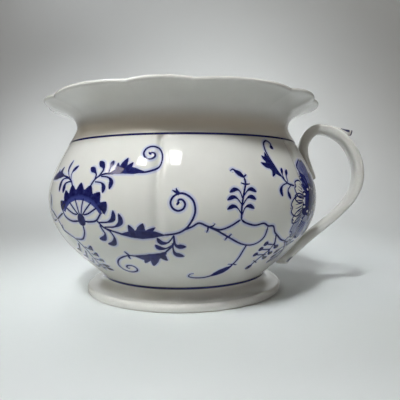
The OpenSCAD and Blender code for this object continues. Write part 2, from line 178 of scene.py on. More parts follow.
def fired_glaze_group():
    """Fired glaze: cloudy white, warmer and darker where a point attribute says that the glaze ran thick and
    where painted shade lies under the rim, rare iron specks, a faint orange-peel height, and bare biscuit
    where the standing ring is ground off, near z = 0."""
    group = bpy.data.node_groups.new("fired_glaze", "ShaderNodeTree")
    size = group.interface.new_socket("Cloud size", in_out="INPUT", socket_type="NodeSocketFloat")
    size.default_value = CLOUD_SCALE
    for name, kind in (("Colour", "Color"), ("Roughness", "Float"), ("Height", "Float")):
        group.interface.new_socket(name, in_out="OUTPUT", socket_type="NodeSocket" + kind)
    cloud = noise(group, new_node(group, "NodeGroupInput", {}).outputs["Cloud size"], 3.0)
    whites = toned(group, cloud, *GLAZE_WHITES)
    # Warm, darker glaze where it pooled, which also paints the shade under the rim.
    pooled_and_shaded = mixed(group, attribute(group, "glaze_pool_and_shade"), whites, WARM_GLAZE_AND_SHADE)

    place = new_node(group, "ShaderNodeTexCoord", {}).outputs["Object"]
    speck = new_node(group, "ShaderNodeTexVoronoi", {"Vector": place, "Scale": SPECK_SCALE}).outputs
    near = ranged(group, speck["Distance"], SPECK_SIZE)
    rare = new_node(group, "ShaderNodeMath", {0: speck["Color"], 1: SPECK_RARE}, operation="GREATER_THAN")
    speckled = new_node(group, "ShaderNodeMath", {0: near, 1: rare.outputs["Value"]}, operation="MULTIPLY")
    dotted = mixed(group, speckled.outputs["Value"], pooled_and_shaded, IRON_SPECK)

    height = new_node(group, "ShaderNodeSeparateXYZ", {"Vector": place}).outputs["Z"]
    bare = ranged(group, height, GROUND_OFF)
    polish = ranged(group, cloud, target=POLISH)
    new_node(group, "NodeGroupOutput", {
        "Colour": mixed(group, bare, dotted, BISCUIT),
        "Roughness": mixed(group, bare, polish, BISCUIT_ROUGH, "FLOAT"),
        "Height": noise(group, PEEL_SCALE, 1.5)})
    return group


FIRED_GLAZE = fired_glaze_group()


def new_material(name):
    """New material with its node tree and its shader."""
    material = bpy.data.materials.new(name)
    material.use_nodes = True
    return material, material.node_tree, material.node_tree.nodes["Principled BSDF"]


def under_glaze(name):
    """New material under the fired glaze, which gives its shader roughness and orange peel. It comes with
    its node tree, its shader and the glaze's own colour."""
    material, tree, shader = new_material(name)
    glaze = new_node(tree, "ShaderNodeGroup", {}, node_tree=FIRED_GLAZE).outputs
    peel = bumped(tree, glaze["Height"], PEEL_STRENGTH, PEEL_DEPTH)
    feed(tree, shader, {"Roughness": glaze["Roughness"], "Normal": peel, "IOR": GLAZE_IOR})
    return material, tree, shader, glaze["Colour"]


PORCELAIN, tree, shader, white = under_glaze("glazed_porcelain")
feed(tree, shader, {"Base Color": white, "Coat Weight": COAT, "Coat Roughness": COAT_ROUGH})

lip_x = LIP_R - LIP_ROUND
foot_flare = [
    (JOINT_R, FOOT_TOP), (JOINT_R, FOOT_TOP - JOINT_PULL), (lip_x - LIP_PULL, LIP_H), (lip_x, LIP_H)]
foot_outline = np.vstack([
    [(JOINT_R - EASED, FOOT_TOP), (JOINT_R, FOOT_TOP - 0.15)],
    cubic(foot_flare, np.linspace(0, 1, 24))[1:],
    arc((lip_x, LIP_H - LIP_ROUND), LIP_ROUND, 90, 0, 10)[1:],
    arc((LIP_R - BASE_ROUND, BASE_ROUND), BASE_ROUND, 0, -90, 8)[1:],
    [(RING_INNER + 2.5, 0), (RING_INNER + 0.9, 0)],
    arc((RING_INNER + 0.6, RING_ROUND), RING_ROUND, -100, -210, 7)[1:],
    np.linspace((RING_INNER - 0.6, RING_EDGE_H), (HOLLOW_R + EASED, FOOT_TOP - 0.3), 8),
    [(HOLLOW_R, FOOT_TOP), (HOLLOW_R + 0.3, FOOT_TOP)]])
foot = fired_piece("glazed_foot", turned(foot_outline, 240), PORCELAIN, close_rows=True)
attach(foot, "root")
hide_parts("foot")


# Slip rings and slip pads. Liquid clay, brushed on where the castings are luted together and fired
# with them: two rings at the shoulder and the foot, and pads under the handle's ends and its spur.
# Fired slip is greyer than the body, with fine brush grain in its colour and height.
SLIP_GREYS, SLIP_MATT = ((0, (0.52, 0.51, 0.47)), (1, (0.72, 0.71, 0.67))), (0.35, 0.6)
GRAIN_SCALE, GRAIN_STRENGTH, GRAIN_DEPTH = 600.0, 0.3, 0.1 * MM
SLIP, tree, shader = new_material("luting_slip")
grain = noise(tree, GRAIN_SCALE, 4.0)
feed(tree, shader, {"Base Color": toned(tree, grain, *SLIP_GREYS),
                    "Roughness": ranged(tree, grain, target=SLIP_MATT),
                    "Normal": bumped(tree, grain, GRAIN_STRENGTH, GRAIN_DEPTH)})
for node in ("foot_slip_ring", "neck_slip_ring", "upper_handle_slip", "lower_handle_slip", "spur_slip"):
    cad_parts[node].data.materials.clear()
    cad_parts[node].data.materials.append(SLIP)


# Bowl. The round belly with its floor, cast in plaster: a smooth wall, pressed in by six upright
# flutes that are deepest under the shoulder and run out below, and ridged a little inside by them.
BOWL_BASE, BELLY_R, BELLY_Z, SHOULDER_R, BOWL_TOP = 12.95, 104.0, 71.5, 88.4, 112.15
LOW_WALL = [(JOINT_R, BOWL_BASE), (86.5, 32.95), (BELLY_R, 46.5), (BELLY_R, BELLY_Z)]
HIGH_WALL = [(BELLY_R, BELLY_Z), (BELLY_R, 86), (95.2, 99.95), (SHOULDER_R, BOWL_TOP)]
WALL, FLOOR_TOP, FLOOR_ROUND, LAND_W = 5.0, 18.95, 3.2, 5.6
LAND_R = SHOULDER_R - LAND_W
PANELS, FLUTE_TURN, FLUTE_DEPTH, FLUTE_NARROW, FLUTE_WIDE = 6, -1.15, 2.6, 1.7, 3.3
PANEL = 360 / PANELS
NARROW_Z, WIDE_Z, RUN_OUT_Z, FULL_Z, FLUTE_STOP = 106.0, 90.0, 30.0, 68.0, 3.2
HEAD_Z, HEAD_RUN, HEAD_LESS, ROLL_SHARE, ROLL_W, RIDGE_SHARE = 94.0, 10.0, 0.2, 0.12, 9.0, 0.4
t400 = np.linspace(0, 1, 400)
wall_outline = np.vstack([cubic(LOW_WALL, t400), cubic(HIGH_WALL, t400)[1:]])


def ease(x):
    """Smooth step: 3x^2 - 2x^3 between 0 and 1."""
    x = np.clip(x, 0, 1)
    return x * x * (3 - 2 * x)


def blend(first, last, share):
    """Even change from a first to a last value: first + (last - first) share."""
    return first + (last - first) * share


def unit(ways):
    """Ways of length 1: each divided by its own length."""
    return ways / np.linalg.norm(ways, axis=-1, keepdims=True)


def rightward(ways):
    """Ways in an upright section turned to their right: (x, z) becomes (z, -x)."""
    return np.stack([ways[..., 1], -ways[..., 0]], -1)


def wall_radius(height):
    """Radius of the bowl's turned outline at a height."""
    return np.interp(height, wall_outline[:, 1], wall_outline[:, 0])


def flute_press(turn, height, radius):
    """Depth of the flutes: a bell curve of the distance to the nearest flute, and a wider, fainter one
    for the roll of the panels. They narrow towards the shoulder, stop short under it, and run out below."""
    off = (turn - FLUTE_TURN) % PANEL - PANEL / 2
    across = radius * np.radians(off)
    half_width = blend(FLUTE_NARROW, FLUTE_WIDE, ease((NARROW_Z - height) / (NARROW_Z - WIDE_Z)))
    bell = np.exp(-(across / half_width) ** 2) + ROLL_SHARE * np.exp(-(across / ROLL_W) ** 2)
    stop, run_out = ease((BOWL_TOP - height) / FLUTE_STOP), ease((height - RUN_OUT_Z) / (FULL_Z - RUN_OUT_Z))
    down = stop * run_out * (1 - HEAD_LESS * ease((height - HEAD_Z) / HEAD_RUN))
    return FLUTE_DEPTH / (1 + ROLL_SHARE) * bell * down


def bowl_wall(turn, height):
    """Outside of the bowl at an angle in degrees and a height: the turned outline less the flutes."""
    turn, height = np.broadcast_arrays(np.asarray(turn, float), np.asarray(height, float))
    r = wall_radius(height)
    return around(r - flute_press(turn, height, r), turn, height)


def panel_turns(per_panel):
    """Angles round the six panels, closer together near the flutes: 30 (0.8 sin(90 u) + 0.2 u)."""
    u = np.arange(per_panel) / per_panel * 2 - 1
    within = PANEL / 2 * (0.8 * np.sin(np.pi / 2 * u) + 0.2 * u)
    return (np.arange(PANELS)[:, None] * PANEL + within).ravel()


turns = panel_turns(44) + FLUTE_TURN
outer_heights = np.concatenate([
    cubic(LOW_WALL, np.linspace(0, 1, 46))[:, 1], cubic(HIGH_WALL, np.linspace(0, 1, 60))[1:, 1]])
outer = bowl_wall(turns[None, :], outer_heights[:, None])
slopes = unit(np.gradient(wall_outline, axis=0))
inside_outline = wall_outline - WALL * rightward(slopes)
round_top = FLOOR_TOP + FLOOR_ROUND
inside_heights = np.concatenate([[BOWL_TOP - EASED], np.linspace(BOWL_TOP - 3, round_top, 60)])[:, None]
inside_r = np.interp(inside_heights, inside_outline[:, 1], inside_outline[:, 0])
inside_r[0] = LAND_R
ridges = RIDGE_SHARE * flute_press(turns[None, :], inside_heights, inside_r)
ridges[0] = 0
inside = around(inside_r - ridges, turns, inside_heights)
edge_r = np.interp(round_top, inside_outline[:, 1], inside_outline[:, 0])
floor_bend = [
    (edge_r, round_top), (edge_r - 2, FLOOR_TOP + 1.2), (edge_r - 4, FLOOR_TOP), (edge_r - 8, FLOOR_TOP)]
floor_outline = np.vstack([
    cubic(floor_bend, np.linspace(0, 1, 8))[1:], np.linspace((edge_r - 14, FLOOR_TOP), (6, FLOOR_TOP), 7)])
floor = around(floor_outline[:, :1], turns, floor_outline[:, 1:])
land = around(np.array([[LAND_R + EASED]]), turns, BOWL_TOP)
under = around(np.array([[8.0], [40.0], [JOINT_R - 0.3]]), turns, BOWL_BASE)
bowl = fired_piece("glazed_bowl", np.concatenate([under, outer, land, inside, floor]), PORCELAIN,
                   poles=((0, 0, BOWL_BASE), (0, 0, FLOOR_TOP)))
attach(bowl, "root")
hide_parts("bowl")


# Rim collar. The narrow neck and the flared rim, one casting, luted on the bowl's shoulder.
# Twelve soft folds draw the rim's edge in: wide lobes stand over the panels, narrow ones over the flutes.
# Glaze has run together in the neck, where it is thicker and warmer; the same warm, darker tint also paints
# the shade that falls on the neck under the rim.
COLLAR_BASE, NECK_R, NECK_Z = 112.65, 83.1, 124.2
NECK = [(SHOULDER_R, COLLAR_BASE), (86.3, 116.35), (NECK_R, 121.5), (NECK_R, NECK_Z)]
FLARE = [(NECK_R, NECK_Z), (NECK_R, 133.2), (92, 135.4), (105, 139.9)]
BASE_T, NECK_T, RIM_T, LIP_REACH = 4.76, 5.0, 3.12, 0.9
FOLD_DEPTH, FOLD_DROP, FOLD_ANGLE, FOLD_SHARPNESS, FOLD_END = 3.4, 0.8, 11.0, 0.7, 0.995
# Height and spread of the warm tint in the neck: pooled glaze, and painted shade under the rim.
POOL_AND_SHADE_Z, POOL_AND_SHADE_SPREAD = 119.0, 7.0


def thinned(points, t, first, last):
    """Cubic curve moved to its left by a thickness that goes evenly from first to last."""
    p = np.asarray(points, float)
    s = np.asarray(t)[:, None]
    way = (1 - s) ** 2 * (p[1] - p[0]) + 2 * s * (1 - s) * (p[2] - p[1]) + s ** 2 * (p[3] - p[2])
    return cubic(points, t) - blend(first, last, s) * rightward(unit(way))


def set_points(mesh, name, values):
    """Writes a named value at every point of a mesh."""
    layer = mesh.attributes.new(name, "FLOAT", "POINT")
    spread_out = np.broadcast_to(values, len(mesh.vertices))
    layer.data.foreach_set("value", np.ascontiguousarray(spread_out, "f"))


def fold_share(turn):
    """0 in the middle of a lobe, 1 in a fold: 1 - cos(90 u)^0.7, u running from lobe middle to fold."""
    off = np.abs(turn % PANEL - PANEL / 2)
    u = np.where(off < FOLD_ANGLE, off / FOLD_ANGLE, (PANEL / 2 - off) / (PANEL / 2 - FOLD_ANGLE))
    return 1 - np.clip(np.cos(np.pi / 2 * np.clip(u, 0, FOLD_END)), 0, 1) ** FOLD_SHARPNESS


t12, t28 = np.linspace(0, 1, 12), np.linspace(0, 1, 28)
flare_way = unit(np.subtract(FLARE[3], FLARE[2]))
flare_side = rightward(flare_way)
lip_turns = np.linspace(0, np.pi, 9)[1:-1, None]
lip = (np.array(FLARE[3]) - RIM_T / 2 * flare_side
       + RIM_T / 2 * (np.cos(lip_turns) * flare_side + LIP_REACH * np.sin(lip_turns) * flare_way))
collar_outline = np.vstack([
    [(SHOULDER_R - EASED, COLLAR_BASE)], cubic(NECK, t12), cubic(FLARE, t28)[1:], lip,
    thinned(FLARE, t28, NECK_T, RIM_T)[::-1], thinned(NECK, t12, BASE_T, NECK_T)[-2:0:-1],
    [(LAND_R, COLLAR_BASE + 0.3), (LAND_R + EASED, COLLAR_BASE)]])
fold_weight = np.concatenate([
    np.zeros(1 + len(t12)), t28[1:] ** 2, np.ones(len(lip)), t28[::-1] ** 2, np.zeros(len(t12))])
rim_turns = np.arange(600) * 0.6
fold = fold_weight[:, None] * fold_share(rim_turns)[None, :]
collar_r = collar_outline[:, :1] - FOLD_DEPTH * fold
collar_grid = around(collar_r, rim_turns, collar_outline[:, 1:] - FOLD_DROP * fold)
rim_collar = fired_piece("glazed_rim_collar", collar_grid, PORCELAIN, close_rows=True)
# Marks the neck for the warm tint: pooled glaze and painted shade under the rim.
in_neck = np.exp(-((collar_outline[:, 1] - POOL_AND_SHADE_Z) / POOL_AND_SHADE_SPREAD) ** 2)
set_points(rim_collar.data, "glaze_pool_and_shade", np.repeat(in_neck, len(rim_turns)))
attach(rim_collar, "root")
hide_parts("rim_collar")


# Cobalt painting, in general. Cobalt oxide brushed on the dry body and fused under the clear glaze:
# thick strokes fire to navy, thin washes to grey blue, and some cobalt runs out into the glaze round
# each stroke. On a mesh, cobalt_load says where paint lies, cobalt_wash how thin, cobalt_bleed if it ran.
NAVY, WASHED, PALE = (0, (0.006, 0.006, 0.07)), (0.45, (0.05, 0.065, 0.27)), (1, (0.42, 0.46, 0.56))
BLEED_BLUE, STREAK_SCALE, STREAKS, COBALT_SHINE = (0.42, 0.48, 0.78, 1), 420.0, (-0.14, 0.22), 0.32
COBALT, tree, shader, white = under_glaze("cobalt_under_glaze")
streaks = ranged(tree, noise(tree, STREAK_SCALE, 3.0), target=STREAKS)
thin = new_node(tree, "ShaderNodeMath", {0: attribute(tree, "cobalt_wash"), 1: streaks}, operation="ADD")
blue = toned(tree, thin.outputs["Value"], NAVY, PALE, (WASHED,))
tinted = mixed(tree, attribute(tree, "cobalt_bleed"), blue, BLEED_BLUE)
painted = mixed(tree, attribute(tree, "cobalt_load"), white, tinted)
feed(tree, shader, {"Base Color": painted, "Specular IOR Level": COBALT_SHINE})


def set_paint(mesh, load, wash):
    """Writes at every point of a mesh whether paint lies there, and how thin it is."""
    set_points(mesh, "cobalt_load", load)
    set_points(mesh, "cobalt_wash", wash)


# Handle. One pressed strap of porcelain, oval in section: a tail that clings to the shoulder,
# the loop, and a blunt end laid on the lower wall. Both ends are luted on and sponged smooth.
# Its end is picked out with one dash of cobalt.
SLIP_T, STRAP_SIDES = 0.5, 40
TAIL_Z, ROOT_Z, END_Z, REACH, REACH_Z, CREST_X, CREST_Z = 86.5, 108.0, 20.0, 137.4, 88.0, 107.0, 124.0
TAIL_T, ROOT_T, CREST_T, REACH_T, WAIST_T, END_T = 3.4, 7.2, 8.2, 7.8, 1.2, 7.8
TAIL_W, ROOT_W, CREST_W, REACH_W, WAIST_W, END_W = 4.0, 14.0, 14.0, 17.0, 2.5, 15.0
ROOT_PULL, CREST_PULL_IN, CREST_PULL_OUT, REACH_PULL_UP, REACH_PULL_DOWN = 5.0, 7.0, 17.0, 19.6, 26.0
END_SLOPE, END_PULL, STRAP_SQUARE, TAIL_GROWTH = math.radians(46.5), 43.0, 3.2, 3.5
END_ROUND, LEVELLED, CAP_ROWS, CAP_TURN = 1.6, 10, 8, 88
SUNK, SMEAR, SMEAR_REACH = 0.15, 0.22, 1.6
DASH_FROM_END, DASH_SIDE, DASH_L, DASH_W, DASH_WASH = 10.5, 25.5, 2.0, 3.0, 0.05
CROWN = [(CREST_X, CREST_Z), (CREST_X + CREST_PULL_OUT, CREST_Z), (REACH, REACH_Z + REACH_PULL_UP),
         (REACH, REACH_Z)]


def off_wall(height, off):
    """Radius at a height of a point that stands off the bowl's turned outline by a distance."""
    side = np.interp(height, wall_outline[:, 1], slopes[:, 1])
    return wall_radius(height) + off / side


def strap_stations():
    """Middle line (x, z) with thickness and width: the tail along the wall, then three cubic runs to
    the top of the loop, to its widest reach and down to the lower end. The tail thickens by t^3.5 and
    widens by sin(90 t), and the strap is drawn in by sin(180 t) on its way down."""
    t = np.linspace(0, 1, 24)
    tail_z, tail_t = blend(TAIL_Z, ROOT_Z, t), blend(TAIL_T, ROOT_T, t ** TAIL_GROWTH)
    tail_w = blend(TAIL_W, ROOT_W, np.sin(np.pi / 2 * t))
    tail = np.stack([off_wall(tail_z, SLIP_T + tail_t / 2), tail_z, tail_t, tail_w], -1)
    root = tail[-1, :2]
    root_way = unit(root - tail[-2, :2])
    end = np.array([off_wall(END_Z, SLIP_T + END_T / 2), END_Z])
    rise = cubic([root, root + ROOT_PULL * root_way, (CREST_X - CREST_PULL_IN, CREST_Z), (CREST_X, CREST_Z)],
                 t[1:])
    r, s = np.linspace(0, 1, 40)[1:], np.linspace(0, 1, 64)[1:]
    fall = cubic([(REACH, REACH_Z), (REACH, REACH_Z - REACH_PULL_DOWN),
                  end + END_PULL * np.array([math.cos(END_SLOPE), math.sin(END_SLOPE)]), end], s)
    waist = np.sin(np.pi * s)
    runs = ((rise, blend(ROOT_T, CREST_T, ease(t[1:])), blend(ROOT_W, CREST_W, t[1:])),
            (cubic(CROWN, r), blend(CREST_T, REACH_T, r), blend(CREST_W, REACH_W, ease(r))),
            (fall, blend(REACH_T, END_T, s) - WAIST_T * waist, blend(REACH_W, END_W, s) - WAIST_W * waist))
    return np.vstack([tail, *(np.column_stack(run) for run in runs)])


def rounded_ends(stations, ways):
    """The strap with both ends rounded off: stations stepped on by r sin q and drawn in by r (1 - cos q)."""
    q = np.radians(np.linspace(0, CAP_TURN, CAP_ROWS + 1))[1:, None]
    caps = []
    for at, sign, r in ((0, -1, TAIL_T / 2), (-1, 1, END_ROUND)):
        middle = stations[at, :2] + sign * r * np.sin(q) * ways[at]
        caps.append(np.hstack([middle, stations[at, 2:] - 2 * r * (1 - np.cos(q))]))
    ends = np.vstack([caps[0][::-1], stations, caps[1]])
    return ends, np.vstack([np.repeat(ways[:1], CAP_ROWS, 0), ways, np.repeat(ways[-1:], CAP_ROWS, 0)])


def squared(x):
    """Cosine or sine of a squarish oval: |x|^0.625 with the sign of x."""
    return np.sign(x) * np.abs(x) ** (2 / STRAP_SQUARE)


def strap_surface(stations, ways):
    """Squarish oval round each station, |cos|^0.625 by |sin|^0.625 along its thickness and its width, pushed
    out of the bowl's wall and spread sideways where it lies within a few millimetres of it."""
    q = np.arange(STRAP_SIDES) * 2 * np.pi / STRAP_SIDES
    thick = stations[:, 2, None, None] / 2 * squared(np.cos(q))[None, :, None]
    x, z = np.moveaxis(stations[:, None, :2] + thick * rightward(ways)[:, None, :], -1, 0)
    y = stations[:, 3, None] / 2 * squared(np.sin(q))
    least = np.where(z > BOWL_TOP, 0, wall_radius(np.minimum(z, BOWL_TOP)) - SUNK)
    gap = np.maximum(np.hypot(x, y) - least, 0)
    y = y * (1 + SMEAR * np.exp(-gap / SMEAR_REACH) * (z < BOWL_TOP))
    push = np.maximum(least / np.hypot(x, y), 1)
    return np.stack([x * push, y * push, z], -1)


def end_poles(grid):
    """Middles of a grid's first and last rows."""
    return grid[0].mean(0), grid[-1].mean(0)


strap = strap_stations()
strap_ways = unit(np.gradient(strap[:, :2], axis=0))
level = ease(np.linspace(0, 1, LEVELLED))
level_ways = unit(strap_ways[-LEVELLED:] * np.stack([1 - level, np.ones(LEVELLED)], -1))
strap[-LEVELLED:, 2] /= np.einsum("ij,ij->i", level_ways, strap_ways[-LEVELLED:])
strap_ways[-LEVELLED:] = level_ways
strap_grid = strap_surface(*rounded_ends(strap, strap_ways))
handle = fired_piece("handle", strap_grid, COBALT, poles=end_poles(strap_grid))
from_end = len(strap_grid) - np.arange(len(strap_grid))[:, None]
dash = np.exp(-((from_end - DASH_FROM_END) / DASH_L) ** 4
              - ((np.arange(STRAP_SIDES) - DASH_SIDE) / DASH_W) ** 4)
set_paint(handle.data, np.append(dash.ravel(), (0, 0)), DASH_WASH)
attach(handle, "root")
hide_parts("upper_handle_leaf", "handle_loop", "lower_handle_leaf")


# Thumb spur. A small blunt tongue, pressed in a mould, set with slip on top of the loop so that the
# thumb has something to lean on. Its upper edge is picked out with a stroke of cobalt, and its blunt end face
# is coloured dark blue all over.
SPUR_W, SEAT_FROM, SEAT_TO, SEATED = 8.8, 0.215, 0.42, 0.72
SPUR_START, SPUR_SUNK, SPUR_TIP, SPUR_UNDER = 0.7, 0.35, (133.0, 122.9), (131.6, 118.8)
START_PULL, TIP_PULL, START_SWELL, END_NARROWER = 4.0, (5.0, -0.9), 0.6, 0.35
TOP_STROKE, DARK_END_FROM, STROKE_SIDE = (0.3, 0.87), 0.92, 0.09


def crown_face(t, off):
    """Point off the loop's outer face by a distance, at a share of its crown, and the crown's way there."""
    e = 1e-3
    way = unit(cubic(CROWN, t + e) - cubic(CROWN, t - e))
    return cubic(CROWN, t) - (blend(CREST_T, REACH_T, t) / 2 + off)[:, None] * rightward(way), way


def spur_surface(rows=34, sides=25):
    """Half-oval rings between a lower line, sunk in the crown and then straight to the tip, and an upper
    cubic that leaves the crown and runs nearly level, from a thin start to a blunt, narrower end."""
    u = np.linspace(0, 1, rows)
    seat_t = blend(SEAT_FROM, SEAT_TO, np.minimum(u / SEATED, 1))
    seat = crown_face(seat_t, np.full(rows, -SPUR_SUNK))[0]
    beyond = np.clip((u - SEATED) / (1 - SEATED), 0, 1)[:, None]
    low = blend(seat, np.array(SPUR_UNDER), beyond)
    start, way = crown_face(np.array([SEAT_FROM]), np.array([SPUR_START]))
    top = cubic([start[0], start[0] + START_PULL * way[0], np.subtract(SPUR_TIP, TIP_PULL), SPUR_TIP], u)
    swell = np.sin(np.pi / 2 * np.minimum(1, START_SWELL + u / 0.5))
    share = swell * (1 - END_NARROWER * np.clip((u - 0.6) / 0.4, 0, 1) ** 2)
    q = np.linspace(0, np.pi, sides)
    middle = low[:, None] + squared(np.sin(q))[None, :, None] * (top - low)[:, None]
    y = -SPUR_W / 2 * share[:, None] * squared(np.cos(q))
    return np.stack([middle[..., 0], y, middle[..., 1]], -1), u


spur_grid, spur_u = spur_surface()
spur = fired_piece("glazed_thumb_spur", spur_grid, COBALT, poles=end_poles(spur_grid))
arch = np.linspace(0, 1, spur_grid.shape[1])
top_stroke = (ease((spur_u - TOP_STROKE[0]) / 0.06) * ease((TOP_STROKE[1] - spur_u) / 0.05))[:, None]
# The blunt end face is coloured dark blue all over.
dark_end = ease((spur_u - DARK_END_FROM) / 0.03)[:, None]
spur_paint = np.maximum(top_stroke * ease((np.minimum(arch, 1 - arch) - STROKE_SIDE) / 0.05), dark_end)
set_paint(spur.data, np.append(spur_paint.ravel(), (0, 1)), DASH_WASH)
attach(spur, "root")
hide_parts("thumb_spur")


# Painted lines. One line of cobalt round the shoulder and one round the foot joint, drawn with a long
# brush while the pot turns on a wheel. They cover the luted joints.
SHOULDER_LIFT, FOOT_LIFT, LINE_COLUMNS = 0.084, 0.112, 360
LINE_EDGE, LINE_WASH, LINE_WANDER = 0.35, 0.08, 0.06


def banded_line(name, outline):
    """Thin turned strip that follows an outline of (radius, height) just off the glaze."""
    grid = turned(outline, LINE_COLUMNS)
    rows, columns = grid.shape[:2]
    piece = new_piece(name, grid, grid_faces(rows, columns).tolist(), COBALT)
    edge = np.ones(rows)
    edge[[0, -1]] = LINE_EDGE
    wash = LINE_WANDER * np.sin(np.arange(columns) * 2 * np.pi / columns * 5 + 1) + LINE_WASH
    set_paint(piece.data, np.repeat(edge, columns), np.tile(wash, rows))
    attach(piece, "root")


neck_outline = cubic(NECK, t400)
shoulder_z = np.array([111.6, 111.8, BOWL_TOP, COLLAR_BASE, 112.9, 113.05])
shoulder_r = np.where(shoulder_z <= BOWL_TOP, wall_radius(shoulder_z),
                      np.interp(shoulder_z, neck_outline[:, 1], neck_outline[:, 0]))
banded_line("shoulder_line", np.column_stack([shoulder_r + SHOULDER_LIFT, shoulder_z]))
foot_line_z = np.array([11.7, 11.95, FOOT_TOP, BOWL_BASE, 13.35, 13.6])
foot_line_r = np.where(foot_line_z < BOWL_BASE, JOINT_R, wall_radius(foot_line_z))
banded_line("foot_line", np.column_stack([foot_line_r + FOOT_LIFT, foot_line_z]))


# Painted vine. Freehand brush strokes on the bowl's wall: a thorny vine that runs between two large
# flowers, with curls, comma-shaped leaves and lobed leaves. The other side is painted the same.
# A stroke is its kind, half width and points (turn, height), and, if not plain, its wash and its layer.
STROKES = {
    "line": ((0, 0.03, 0.97, 1), (0.5, 1, 1, 0.5)),
    "taper": ((0, 0.03, 0.5, 1), (0.6, 1, 0.85, 0.35)),
    "comma": ((0, 0.42, 0.56, 0.7, 0.83, 0.93, 1), (0.27, 0.3, 0.66, 1, 0.84, 0.5, 0.06)),
    "blade": ((0, 0.45, 0.8, 1), (1, 0.82, 0.42, 0.06)),
    "spindle": ((0, 0.25, 0.5, 0.75, 1), (0.12, 0.72, 1, 0.72, 0.12)),
    "bud": ((0, 0.12, 0.35, 0.65, 0.88, 1), (0.3, 0.75, 1, 1, 0.75, 0.3)),
    "petal": ((0, 0.3, 0.65, 0.88, 1), (0.35, 0.75, 1, 0.82, 0.35)),
}
VINE_W, TWIG_W, THORN_W, BLEED, BLEED_LOAD, PLAIN, SIDES = 0.6, 0.5, 0.6, 1.7, 0.8, (0.04, 2), (0, 180)
BLEED_LIFT, PAINT_LIFT, LAYER_LIFT, STAGGER, STAGGERED = 0.01, 0.03, 0.022, 0.002, 7
EDGE_THIN, EDGE_FROM = 0.14, 0.55


def wall_normal(turn, height):
    """Way out of the bowl's wall: the cross product of a small step round it and a small step up it."""
    e = 0.04
    round_it = bowl_wall(turn + e, height) - bowl_wall(turn - e, height)
    up = bowl_wall(turn, height + e) - bowl_wall(turn, height - e)
    return unit(np.cross(round_it, up))


def smooth_path(points, per_leg=10):
    """Curve through points (turn, height): each leg is a cubic that leaves a point along the chord between
    its neighbours, 0.5 (2b + (c-a) t + (2a-5b+4c-d) t^2 + (3b-a-3c+d) t^3)."""
    p = np.asarray(points, float)
    p = np.vstack([2 * p[0] - p[1], p, 2 * p[-1] - p[-2]])
    t = (np.arange(per_leg) / per_leg)[None, :, None]
    a, b, c, d = p[:-3, None], p[1:-2, None], p[2:-1, None], p[3:, None]
    square, cube = 2 * a - 5 * b + 4 * c - d, 3 * b - a - 3 * c + d
    legs = 0.5 * (2 * b + (c - a) * t + square * t ** 2 + cube * t ** 3)
    return np.vstack([legs.reshape(-1, 2), p[-2]])


def brush(kind, half_width, points, lift, bleed):
    """Ribbon on the wall: points across each station of the path at shares of the stroke's width, more of
    them on a wider stroke, set back on the wall and lifted off it; or, with a bleed, the wider ribbon of thin
    cobalt that has run into the glaze. Gives places, ways out and edge shares."""
    path = smooth_path(points)
    middle, out = bowl_wall(*path.T), wall_normal(*path.T)
    run = np.concatenate([[0], np.cumsum(np.linalg.norm(np.diff(middle, axis=0), axis=1))])
    across = np.cross(out, unit(np.gradient(middle, axis=0)))
    width = half_width * np.interp(run / run[-1], *STROKES[kind])
    core = share = np.linspace(-1, 1, 5 + 2 * int(half_width))
    if bleed:
        core, share = np.pad(core, 1, "edge"), np.pad(0 * share, 1, constant_values=(-1, 1))
    edge = middle[:, None] + (width[:, None] * core + bleed * share)[..., None] * across[:, None]
    turn, height = np.degrees(np.arctan2(edge[..., 1], edge[..., 0])), edge[..., 2]
    out = wall_normal(turn, height)
    return bowl_wall(turn, height) + lift * out, out, np.broadcast_to(np.abs(share), turn.shape)


def painted_piece(name, strokes):
    """All strokes of a motif as one skin of paint over the bleed of each, on both sides of the pot.
    A wash of None leaves bare white, and higher layers lie over lower ones."""
    skins, faces, count = [], [], 0
    for turn, bleed in [(turn, bleed) for turn in SIDES for bleed in (BLEED, 0.0)]:
        for k, stroke in enumerate(strokes):
            kind, half_width, points, wash, layer = (*stroke, *PLAIN[len(stroke) - 3:])
            lift = STAGGER * (k % STAGGERED) + (BLEED_LIFT if bleed else PAINT_LIFT + LAYER_LIFT * layer)
            grid, out, edge = brush(kind, half_width, np.add(points, (turn, 0)), lift, bleed)
            outward = np.roll(grid_faces(*edge.shape, close_columns=False)[:, ::-1], 1, 1)
            faces.append(outward + count)
            count += edge.size
            load = (BLEED_LOAD * (1 - edge) if bleed else np.ones(edge.shape)) * (wash is not None)
            thin = (wash or 0) + EDGE_THIN * ease((edge - EDGE_FROM) / (1 - EDGE_FROM))
            values = np.stack([load, thin, np.full(edge.shape, bleed > 0)], -1)
            skins.append(np.concatenate([grid, out, values], -1).reshape(-1, 9))
    places, outs, values = np.split(np.vstack(skins), (3, 6), 1)
    piece = new_piece(name, places, np.vstack(faces).tolist(), COBALT)
    piece.data.normals_split_custom_set_from_vertices(outs.tolist())
    set_paint(piece.data, values[:, 0], values[:, 1])
    set_points(piece.data, "cobalt_bleed", values[:, 2])
    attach(piece, "root")


